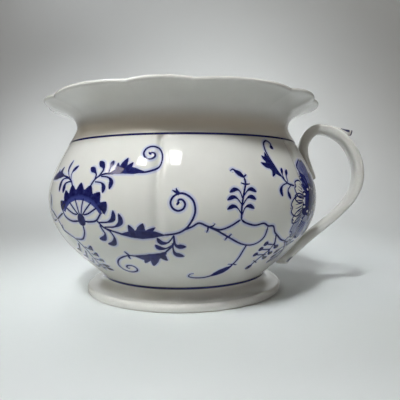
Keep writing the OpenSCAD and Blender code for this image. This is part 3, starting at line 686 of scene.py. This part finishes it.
vine = [
    # A sprig beside the fan flower, with four leaves, and a lobed leaf at its end.
    ("line", VINE_W, [(-112.8, 60.7), (-110.5, 56.8), (-108, 55.2), (-105, 53.7), (-102.5, 52.8)]),
    ("comma", 1.7, [(-112.3, 59.7), (-108.9, 60), (-106.8, 61.3), (-105.9, 63.3), (-105.9, 67.4)]),
    ("comma", 1.7, [(-110, 57), (-106.2, 57.4), (-103.9, 59.5), (-103.4, 62), (-104, 65.6)]),
    ("comma", 1.8, [(-111.9, 58), (-111.1, 54.9), (-110.6, 52.6), (-111.7, 49.8), (-114.1, 49.1)]),
    ("comma", 1.8, [(-109.9, 56.1), (-108.2, 54.4), (-107.2, 50.4), (-108.4, 46.8), (-111.1, 46.2)]),
    ("spindle", 3.1, [(-104.5, 53), (-101, 53.2), (-97.2, 53.3), (-93.5, 53.2), (-89, 52.9)]),
    ("blade", 2.4, [(-99.8, 53.5), (-100.2, 56), (-100.9, 59)]),
    ("blade", 3.1, [(-97.1, 54), (-96.5, 57), (-95.8, 60)]),
    ("blade", 1.9, [(-95, 53.8), (-93.8, 55.3), (-92, 57.4)]),
    # The vine climbs from that leaf into a curl, with a bud in it and two blades on top.
    ("line", VINE_W, [(-89.5, 52.9), (-85.2, 54), (-82.5, 56.2), (-80.4, 60.5), (-79.1, 66.5), (-79.6, 72.5),
                      (-81.5, 76), (-83.7, 77), (-85.8, 75.2), (-86.7, 71.8), (-86, 68.6), (-84.4, 67.2),
                      (-82.8, 68.3), (-82.2, 71), (-83, 73.3), (-84.1, 73.4), (-84.5, 71.7)]),
    ("bud", 1.2, [(-84.7, 71.9), (-84.1, 71)]),
    ("blade", 0.95, [(-83.9, 76.6), (-84.6, 78), (-85, 80.2)]),
    ("blade", 0.95, [(-83.9, 76.6), (-85.1, 77.8), (-86.3, 78.9)]),
    # Two strands run on towards the peony, with thorns.
    ("line", VINE_W, [(-82.6, 56.1), (-80, 58), (-77.8, 60), (-75, 58), (-71.5, 55.9), (-69.5, 56.2),
                      (-67, 58), (-64, 61.3)]),
    ("line", VINE_W, [(-75, 58), (-71.5, 55), (-67.3, 50.8), (-62.5, 46.5), (-58.5, 44.8), (-55, 45.8),
                      (-52.8, 49.5), (-52.5, 56)]),
    ("taper", THORN_W, [(-74.4, 57.6), (-73.3, 58.2), (-72.6, 59.6)]),
    ("taper", THORN_W, [(-74.9, 57.4), (-74.9, 56), (-75.3, 54.2)]),
    ("taper", THORN_W, [(-67.6, 51), (-66.5, 53)]),
    ("taper", THORN_W, [(-67.9, 51.2), (-68.7, 49)]),
    # The upper strand goes on, to the peony's foot.
    ("line", VINE_W, [(-63.7, 61.4), (-62, 59.3), (-58.3, 57.5), (-54.7, 58.3), (-52.5, 56.5), (-50, 56),
                      (-48.3, 52), (-45.6, 48.9), (-42.5, 46), (-39.3, 44.6)]),
    # A stem hangs from the lower strand, with two thorns, a leaf and a curl.
    ("line", VINE_W, [(-59.5, 44.7), (-60, 41), (-60.3, 37), (-61, 33), (-62.5, 29.5)]),
    ("taper", THORN_W, [(-61.3, 31.6), (-64, 31.7)]),
    ("taper", THORN_W, [(-61.3, 31.6), (-59.3, 30.5)]),
    ("spindle", 2.9, [(-61.3, 30.6), (-65.5, 26.4), (-70.5, 22.6)]),
    ("taper", 0.7, [(-68.5, 23.8), (-73, 22.1), (-77.5, 22.1), (-80.5, 23.3), (-80, 25.3), (-78.3, 25.8)]),
    # Twigs under the peony.
    ("line", TWIG_W, [(-39.3, 44.6), (-37.5, 47), (-35.1, 46.6), (-34, 48.5), (-32, 48.6)]),
    ("line", TWIG_W, [(-39.3, 44.4), (-36.5, 43.3), (-35.2, 44.6), (-33.1, 43), (-31.5, 45.2),
                      (-29.5, 45.5)]),
    ("line", TWIG_W, [(-36.5, 43.3), (-34.5, 40.5), (-32, 41.5), (-29, 42.5)]),
    # Stems of the fan flower, on its left.
    ("line", VINE_W, [(-131.3, 63.9), (-137.6, 59.4)]),
    ("line", VINE_W, [(-137.6, 59.4), (-136.3, 55.6), (-135.6, 52.3), (-132.6, 50.1), (-128.8, 47.1),
                      (-127.7, 44.6), (-126.5, 41.3), (-126.1, 38.3), (-126.6, 32.3), (-127, 28.2),
                      (-126.5, 23.5)]),
    ("line", VINE_W, [(-120, 57), (-120.5, 52.7), (-122.5, 48.9), (-124.6, 47.4), (-128.8, 47.1)]),
    ("taper", THORN_W, [(-135.5, 53.1), (-134.9, 56)]),
]
painted_piece("vine_painting", vine)


# Painted sprays. Small leafy sprays in the gaps of the vine, most of them a stem with comma-shaped leaves:
# one stands like a little tree, others hang from the vine or spring from the flowers.
sprays = [
    # Above the fan flower, on the left: a lobed leaf and four comma leaves.
    ("line", VINE_W, [(-125, 81.5), (-126.5, 84.5), (-130, 87), (-134, 88)]),
    ("spindle", 2.9, [(-132.5, 87.8), (-137.5, 88.4), (-142, 87.5), (-146, 86)]),
    ("blade", 2.5, [(-137, 88.5), (-136.8, 91), (-135.8, 94)]),
    ("blade", 2.0, [(-139.5, 88.5), (-140, 90.5), (-140.2, 92.5)]),
    ("comma", 1.2, [(-127.5, 85.5), (-130, 89.5), (-131, 93), (-130, 98)]),
    ("comma", 1.4, [(-126.5, 84.5), (-127.5, 88), (-127, 91), (-124.5, 94)]),
    ("comma", 1.8, [(-128.5, 86.3), (-131.9, 86), (-133.8, 83.5), (-134.1, 77.5)]),
    ("comma", 2.0, [(-126.5, 84), (-128.6, 83.7), (-130.2, 82), (-130.8, 76.7)]),
    # Above it, on the right: comma leaves, a lobed leaf, and a curl with its bud.
    ("line", VINE_W, [(-115.5, 81), (-114, 85), (-112, 87.5), (-109.5, 88.5), (-106.5, 88.5)]),
    ("comma", 1.9, [(-114, 85), (-113.8, 88), (-115, 90.2), (-117.4, 92.6)]),
    ("comma", 2.0, [(-112.5, 87), (-111.2, 90.5), (-111.6, 93), (-114, 96.3)]),
    ("comma", 1.5, [(-113.7, 83.8), (-110.9, 83.1), (-109.7, 80.6), (-109.9, 77)]),
    ("comma", 1.6, [(-111.5, 87), (-108.5, 86.3), (-107, 83.8), (-107.4, 79.2)]),
    ("comma", 1.5, [(-108.6, 89), (-108.4, 92), (-107.7, 96.4)]),
    ("spindle", 2.7, [(-108.5, 88.5), (-105, 90), (-102.3, 90.7), (-99.5, 90), (-95.5, 89.3)]),
    ("blade", 2.7, [(-103.7, 90.5), (-103.1, 94), (-102.2, 97.8)]),
    ("blade", 2.0, [(-101.9, 90.8), (-100.9, 92.8), (-99.9, 95)]),
    ("blade", 1.8, [(-105.2, 90), (-105.5, 92.5), (-105.7, 95)]),
    ("line", VINE_W, [(-99, 89.2), (-96, 89), (-93.5, 89.8), (-91, 92), (-90, 96), (-90.2, 100),
                      (-91.7, 103.3), (-94, 104.3), (-96, 103), (-96.7, 100.2), (-95.8, 97.6), (-94, 96.8),
                      (-92.7, 98.2), (-92.9, 100.2), (-94.2, 100.6)]),
    ("bud", 1.1, [(-94.1, 100.5), (-94.7, 99.6)]),
    # Left of it: two upright leaves and a twig.
    ("taper", 1.0, [(-141.6, 63.8), (-137.6, 59.4)]),
    ("comma", 1.6, [(-141.6, 63.6), (-145, 66), (-147.3, 69.5), (-148.3, 73.5), (-149.5, 79)]),
    ("spindle", 1.8, [(-143.2, 66.5), (-142.8, 70.4), (-142.9, 75.8)]),
    ("line", TWIG_W, [(-139, 58.6), (-144.4, 58.2), (-146.3, 66.5)]),
    # The little tree's stem, with its top leaf and thorns.
    ("line", VINE_W, [(-63.7, 61.3), (-63.8, 69), (-63.1, 76), (-62.1, 82), (-62.2, 85.6)]),
    ("spindle", 1.6, [(-62.1, 85.4), (-63.8, 88), (-65.8, 90.3)]),
    ("taper", 0.55, [(-64.9, 89.6), (-66, 90.6), (-67.1, 89.5)]),
    ("taper", THORN_W, [(-62.3, 86.2), (-61.2, 87.6)]),
    ("taper", THORN_W, [(-62.2, 81.7), (-63.8, 82.7)]),
    ("taper", THORN_W, [(-62.2, 81.7), (-60.4, 82)]),
    # Below the peony, on the left: two hanging stems with leaves.
    ("line", VINE_W, [(-47.2, 50.5), (-45.6, 44.5), (-46.3, 39), (-49, 33.5), (-51, 27.5)]),
    ("bud", 1.8, [(-50.3, 29), (-51.8, 25.6)]),
    ("comma", 1.9, [(-45.7, 45.5), (-44.3, 42), (-41.3, 40.5)]),
    ("comma", 1.9, [(-46.2, 40.5), (-45.2, 37.5), (-42.3, 36)]),
    ("comma", 1.8, [(-47.4, 36.5), (-46.6, 34.2), (-43.8, 33)]),
    ("taper", 0.5, [(-49.6, 31.5), (-51.5, 32.5)]),
    ("taper", 0.5, [(-49.6, 31.5), (-48, 30)]),
    ("line", VINE_W, [(-39.3, 44.6), (-36.5, 41), (-34.5, 37), (-34, 32.5), (-35.5, 28.5)]),
    ("comma", 1.9, [(-36, 40.4), (-38.2, 38.6), (-40.6, 35.4)]),
    ("comma", 1.9, [(-34.5, 37), (-37.2, 35), (-39.8, 31.4)]),
    ("comma", 1.8, [(-34, 32.8), (-36.8, 31), (-39.4, 28)]),
    # Under the vine's curl: four leaves, a large lobed leaf, and a curl with two thorns.
    ("comma", 1.8, [(-86, 52.3), (-85.3, 46.5), (-81.8, 45.6)]),
    ("comma", 1.8, [(-86.6, 48), (-86, 41.5), (-82.5, 39)]),
    ("comma", 1.6, [(-86.2, 52), (-88, 48.5), (-90.5, 48.2), (-91.9, 51.2)]),
    ("comma", 1.6, [(-86.3, 47.2), (-88.8, 44.7), (-91.3, 44.7), (-92.8, 46.9)]),
    ("line", VINE_W, [(-86, 53), (-86.2, 47.5), (-89, 42.5), (-90.5, 40)]),
    ("spindle", 3.3, [(-89, 41.3), (-93, 39), (-97, 38), (-102, 38.9)]),
    ("blade", 2.4, [(-91, 40.3), (-90.2, 38), (-89, 36)]),
    ("blade", 3.0, [(-93.6, 38.8), (-94.4, 35.5), (-95.4, 31.8)]),
    ("blade", 2.4, [(-96, 38.2), (-97.4, 36), (-98.6, 33.8)]),
    ("blade", 1.8, [(-91, 40), (-90, 41.2), (-89.3, 42.4)]),
    ("line", VINE_W, [(-100.5, 38.7), (-105, 38.7), (-110, 35.5), (-112.5, 31), (-111.8, 27.5),
                      (-108.5, 25.8), (-105, 26.8), (-104, 29), (-105.3, 31), (-107.7, 31), (-108.8, 29.5),
                      (-107.8, 28.3)]),
    ("taper", 0.8, [(-104, 38.9), (-105.4, 41.8)]),
    ("taper", 0.8, [(-104.5, 38.7), (-104.3, 36.2)]),
    # Above the peony, on the left: a hooked stem with a bud, a lobed leaf and four comma leaves.
    ("line", VINE_W, [(-45.2, 105.2), (-45.2, 108), (-47, 109.3), (-48.9, 107.5), (-49.6, 103.5),
                      (-49.3, 99.5), (-48.2, 94.5), (-46.5, 88.5), (-43.5, 82.5), (-39.5, 80.5)]),
    ("bud", 1.4, [(-45, 106.4), (-45.6, 103.8)]),
    ("spindle", 2.9, [(-50.4, 101.5), (-50.3, 96), (-48.9, 91.5), (-46.2, 86.5)]),
    ("blade", 2.1, [(-50.2, 96.5), (-51.6, 97.6), (-52.6, 99.4)]),
    ("blade", 2.3, [(-49.8, 93), (-52, 93.4), (-54, 95)]),
    ("blade", 1.9, [(-48.6, 91), (-49.2, 88.5), (-50.2, 86.2)]),
    ("comma", 1.3, [(-44.5, 84.5), (-45, 88), (-44.3, 92)]),
    ("comma", 1.3, [(-43, 83), (-43, 87), (-41.6, 91)]),
    ("comma", 1.4, [(-43.3, 82.3), (-46, 81), (-47.4, 78), (-46.8, 74)]),
    ("comma", 1.3, [(-41.5, 81), (-43.4, 78.5), (-43.6, 76), (-42.3, 72)]),
]
# The little tree's branches, in pairs.
for low, top, left, right in ((64, 69.2, -68.9, -59.1), (69.5, 74.5, -68.9, -58.5), (73.9, 78.9, -68, -58.2)):
    for way, tip in ((-1, left), (1, right)):
        bend, crest = tip - 3.5 * way, tip - 1.9 * way
        sprays.append(("comma", 1.3, [(-63.6, low), (bend, top - 0.9), (crest, top), (tip, top - 1.7)]))
# Leaves on short stalks, on both sides of the fan flower's long stem.
for stalk, knee, tip in (((-126.1, 41.9), (-122.9, 40.4), (-121.0, 43.6)),
                         ((-124.7, 37.4), (-122.4, 36.1), (-120.5, 38.8)),
                         ((-126.6, 33.4), (-121.9, 32.2), (-120.0, 33.9)),
                         ((-126.9, 28.6), (-123.7, 28.4), (-119.5, 28.5)),
                         ((-126.7, 25.9), (-123.3, 26.1), (-119.4, 25.2)),
                         ((-128.8, 43.9), (-132.6, 38.1), (-135.4, 38.6)),
                         ((-127.7, 38.8), (-132.0, 33.2), (-135.0, 33.9)),
                         ((-127.9, 33.0), (-131.8, 28.7), (-134.3, 29.9)),
                         ((-127.3, 28.0), (-131.5, 25.6), (-133.7, 26.3))):
    sprays.append(("line", VINE_W, [stalk, knee]))
    sprays.append(("blade", 2.0, [knee, tip]))
# Buds on short stalks, on the first of the hanging stems.
for height, turn in ((44.5, -50.2), (41, -51.4), (37.3, -52.6)):
    sprays.append(("line", TWIG_W, [(-46, height - 1.2), (turn + 2, height - 0.7), (turn, height)]))
    sprays.append(("bud", 1.9, [(turn + 1.0, height - 0.5), (turn - 1.0, height + 0.5)]))
painted_piece("spray_painting", sprays)


# Painted fan flower. The flower at the head of the vine: a dark calyx, a white fan with thin ribs,
# a band of lighter blue, and seven dark pointed petals round its edge. It is drawn on ovals round the
# calyx, each a half width and a half height in mm.
FAN_PLACE, RIB_W, PETAL_W = (-120.2, 61.3), 0.5, 4.0
PALE_BAND, MIDDLE_BAND, DARK_BAND = (17.5, 13.3), (18.6, 14.5), (20.2, 16.4)
PETAL_FOOT, PETAL_BEND, PETAL_TIP = (18.8, 15.4), (21.9, 18.9), (24.8, 22.4)
RIB_FOOT, RIB_BEND, RIB_END = 2.5, (8.5, 8), (17, 13)
BAND_LEANS, RIB_LEANS = np.linspace(-74, 76, 9), (-60, -38, -15, 13, 37, 57)
PETAL_LEANS = ((-65, -62), (-43, -39), (-21.5, -20.5), (0, 0), (21.5, 21.5), (43, 42.5), (66, 61))
wall_run = np.concatenate([[0], np.cumsum(np.linalg.norm(np.diff(wall_outline, axis=0), axis=1))])


def wrapped(place, flat):
    """Flat points in mm (right, up) laid on the wall round a place: up runs along the outline's length,
    right becomes a turn of right / radius."""
    flat = np.asarray(flat, float)
    run = np.interp(place[1], wall_outline[:, 1], wall_run) + flat[:, 1]
    height = np.interp(run, wall_run, wall_outline[:, 1])
    return np.column_stack([place[0] + np.degrees(flat[:, 0] / wall_radius(height)), height])


def fan_point(lean, oval):
    """Point of an oval at a lean in degrees: half width by the lean's sine, half height by its cosine."""
    lean = np.radians(lean)
    return np.stack([oval[0] * np.sin(lean), oval[1] * np.cos(lean)], -1)


def fan_stroke(kind, half_width, flat, *rest):
    """Stroke of the fan flower from flat points in mm round its calyx."""
    return (kind, half_width, wrapped(FAN_PLACE, flat), *rest)


fan = [fan_stroke("bud", 1.8, fan_point(BAND_LEANS, PALE_BAND), 0.36, 1),
       fan_stroke("bud", 1.1, fan_point(BAND_LEANS, MIDDLE_BAND), 0.24, 1.5),
       fan_stroke("bud", 2.0, fan_point(BAND_LEANS, DARK_BAND), 0.03, 2)]
for lean, tip in PETAL_LEANS:
    bend = 0.5 * (lean + tip)
    petal = [fan_point(lean, PETAL_FOOT), fan_point(bend, PETAL_BEND), fan_point(tip, PETAL_TIP)]
    fan.append(fan_stroke("blade", PETAL_W, petal, 0.0, 2.5))
for lean in RIB_LEANS:
    rib = [(0.05 * lean, RIB_FOOT), fan_point(lean * 1.1, RIB_BEND), fan_point(lean, RIB_END)]
    fan.append(fan_stroke("line", RIB_W, rib))
fan += [fan_stroke("line", VINE_W, [(-20, 5), (-17, 0.5), (-10, -2), (-1, -1.4)]),
        fan_stroke("line", VINE_W, [(1, -1.4), (7.5, -1.6), (13, -0.4), (17.2, 4)]),
        fan_stroke("bud", 3.3, [(-0.5, 3.2), (0.1, -0.6), (0.9, -4.5)], 0.0, 3)]
painted_piece("fan_flower_painting", fan)


# Painted peony. The large round flower beside the handle: white petals left bare with dark outlines and
# hatching, grey blue petals above and below, and a navy heart. It is painted again opposite the handle.
# A petal is its lean from upright, its reach, half its spread in degrees and its wash.
PEONY_PLACE, DISC_R, HEART_R, STAMENS, STAMEN_FROM, STAMEN_TO = (-26.0, 70.5), 14.5, 6.6, 12, 7.8, 9.4
OUTLINE_W, STAMEN_W, VEIN_W, VEIN_GAP, VEIN_WASH, WHITE_VEIN_WASH = 0.5, 0.75, 0.42, 1.5, 0.4, 0.22
PETALS = ((0, 29.0, 15, 0.52), (30, 21.0, 13, 0.08), (66, 25.5, 13, None), (84, 25.0, 7, None),
          (98, 29.0, 13, None), (117, 28.0, 8, None), (137, 30.0, 13, 0.72), (163, 28.0, 14, 0.8))
petal_edge = np.array([(0.42, -0.35), (0.6, -0.8), (0.78, -1), (0.92, -0.75), (1, -0.35), (0.96, 0),
                       (1, 0.35), (0.92, 0.75), (0.78, 1), (0.6, 0.8), (0.42, 0.35)])


def peony_stroke(kind, half_width, lean, along, aside, *rest):
    """Stroke of the peony from distances in mm along a lean in degrees from upright, and to its right."""
    lean = np.radians(lean)
    along, aside = np.broadcast_arrays(np.asarray(along, float), aside)
    right, up = along * np.sin(lean) + aside * np.cos(lean), along * np.cos(lean) - aside * np.sin(lean)
    return (kind, half_width, wrapped(PEONY_PLACE, np.column_stack([right, up])), *rest)


peony = [peony_stroke("bud", DISC_R, 0, [-DISC_R, -7, 0, 7, DISC_R], 0, 0.05, 0)]
for lean, reach, spread, wash in PETALS:
    wide = reach * math.sin(math.radians(spread))
    edge = (reach, wide) * petal_edge
    vein_wash = WHITE_VEIN_WASH if wash is None else VEIN_WASH
    for side in (-lean, lean) if lean else (0,):
        peony.append(peony_stroke("petal", wide, side, reach * np.array([0.4, 0.7, 0.98]), 0, wash, 1))
        peony.append(peony_stroke("line", OUTLINE_W, side, *edge.T, 0.08, 2))
        for off in np.linspace(-0.6, 0.6, max(2, round(wide / VEIN_GAP))):
            vein = reach * np.array([0.55, 0.7, 0.86 - 0.1 * abs(off)])
            fanned = wide * off * np.array([0.6, 0.9, 1])
            peony.append(peony_stroke("taper", VEIN_W, side, vein, fanned, vein_wash, 2))
peony.append(peony_stroke("bud", HEART_R, 0, [-HEART_R, -3, 3, HEART_R], 0, 0.0, 3))
for lean in np.arange(STAMENS) * 360 / STAMENS:
    peony.append(peony_stroke("bud", STAMEN_W, lean, [STAMEN_FROM, STAMEN_TO], 0, None, 3))
painted_piece("peony_painting", peony)


# Stage. A pale paper floor that sweeps up into the backdrop. Three soft lights fill from the camera's left,
# two from behind; two light the backdrop, one the floor in front. Three windows only mirror in the glaze.
# The paper is in mm, lights and camera in metres.
PAPER_TONES, PAPER_ROUGH, PAPER_SHINE = ((0, (0.77, 0.81, 0.82)), (1, (0.81, 0.85, 0.86))), 0.6, 0.2
PAPER_SIDE, PAPER_TOP, LEVEL_Y, BEND_Y, BEND_R = 2200, 1900, (-1600, -600, 0, 300), 420, 500
ROOM_TONES = ((0, (0.14, 0.105, 0.08)), (1, (0.045, 0.042, 0.04)))
WHITE, AIM_H = (1.0, 1.0, 1.0), 0.09
CAMERA_TURN, CAMERA_DISTANCE, CAMERA_HEIGHT = math.radians(7.5), 0.327909, 0.083059
CAMERA_DOWN, CAMERA_ROLL, CAMERA_SWING = 0.044, 0.006, 0.040


def sweep_grid():
    """Sheet that runs level towards the back, then turns up through a quarter circle, and rises."""
    bend = np.radians(np.linspace(0, 90, 24))
    x = np.linspace(-PAPER_SIDE, PAPER_SIDE, 23)
    y = np.concatenate([LEVEL_Y, BEND_Y + BEND_R * np.sin(bend), [BEND_Y + BEND_R]])
    z = np.concatenate([np.zeros(len(LEVEL_Y)), BEND_R - BEND_R * np.cos(bend), [PAPER_TOP]])
    return np.stack(np.broadcast_arrays(x[None, :], y[:, None], z[:, None]), -1)


def soft_light(name, azimuth, elevation, distance, width, height, power, colour, spread=180, use="both",
               turned_to=None):
    """Rectangular light at an azimuth and elevation round the middle of the shoulder, facing it unless turned
    to a tilt and a swing of its own. Its rays fan out over the spread in degrees, as behind a grid. It fills,
    or is mirrored in the glaze, or both."""
    lamp = bpy.data.lights.new(name, "AREA")
    lamp.shape, lamp.size, lamp.size_y = "RECTANGLE", width, height
    lamp.energy, lamp.color, lamp.spread = power, colour, math.radians(spread)
    light = bpy.data.objects.new(name, lamp)
    bpy.context.collection.objects.link(light)
    el = math.radians(elevation)
    x, y, _ = around(distance * math.cos(el), azimuth, 0)
    light.location = (x, y, AIM_H + distance * math.sin(el))
    tilt, swing = turned_to or (90 - elevation, azimuth + 90)
    light.rotation_euler = (math.radians(tilt), 0, math.radians(swing))
    light.visible_camera = False
    light.visible_diffuse, light.visible_glossy = use != "mirror", use != "fill"


PAPER, tree, shader = new_material("pale_paper")
feed(tree, shader, {"Base Color": toned(tree, noise(tree, 4.0, 2.0), *PAPER_TONES),
                    "Roughness": PAPER_ROUGH, "Specular IOR Level": PAPER_SHINE})
paper = sweep_grid()
sweep = new_piece("paper_sweep", paper, grid_faces(*paper.shape[:2], close_columns=False).tolist(), PAPER)

soft_light("front_fill", -102, 58, 1.5, 0.27, 0.36, 0.41, (0.98, 1.0, 1.0), 25, "fill")
soft_light("front_left_fill", -129, 51, 1.6, 0.14, 0.18, 0.15, WHITE, 35, "fill")
soft_light("left_fill", -153, 38, 1.6, 0.22, 0.16, 0.47, (1.0, 1.0, 0.85), 80, "fill")
soft_light("right_window", -95.5, 53.2, 1.5, 0.27, 0.25, 3.2, WHITE, 180, "mirror")
soft_light("middle_window", -121, 48.3, 1.6, 0.33, 0.16, 3.0, WHITE, 180, "mirror")
soft_light("left_window", -149, 36, 1.6, 0.42, 0.2, 2.0, (1.0, 0.9, 0.86), 180, "mirror")
soft_light("rear_left_light", 134, 55, 1.3, 0.5, 0.5, 4.1, (0.97, 0.98, 1.0))
soft_light("rear_right_light", 40, 55, 1.3, 0.5, 0.5, 1.1, (1.0, 1.0, 0.98))
soft_light("backdrop_light", 90, 72, 0.9, 0.5, 0.3, 0.86, WHITE, 70, turned_to=(32, 0))
soft_light("backdrop_side_light", 147.5, 29, 0.745, 0.2, 0.2, 0.13, WHITE, 70, "fill", turned_to=(58, -4))
soft_light("floor_light", -76, 45, 0.32, 0.2, 0.08, 0.02, WHITE, 36, "fill", turned_to=(0, 0))

world = bpy.data.worlds.new("room")
bpy.context.scene.world = world
world.use_nodes = True
room = world.node_tree
direction = new_node(room, "ShaderNodeTexCoord", {}).outputs["Generated"]
depth = new_node(room, "ShaderNodeSeparateXYZ", {"Vector": direction}).outputs["Y"]
tones = toned(room, ranged(room, depth, (-1, 0)), *ROOM_TONES)
feed(room, room.nodes["Background"], {"Color": tones, "Strength": 1.0})

eye = bpy.data.cameras.new("photo_camera")
eye.sensor_fit, eye.sensor_width, eye.lens = "HORIZONTAL", 36.0, 36.0
eye.clip_start = 0.01
camera = bpy.data.objects.new("photo_camera", eye)
bpy.context.collection.objects.link(camera)
camera.location = (CAMERA_DISTANCE * math.sin(CAMERA_TURN), -CAMERA_DISTANCE * math.cos(CAMERA_TURN),
                   CAMERA_HEIGHT)
camera.rotation_euler = (math.pi / 2 - CAMERA_DOWN, CAMERA_ROLL, CAMERA_TURN - CAMERA_SWING)
bpy.context.scene.camera = camera
bpy.context.scene.view_settings.view_transform = "Standard"
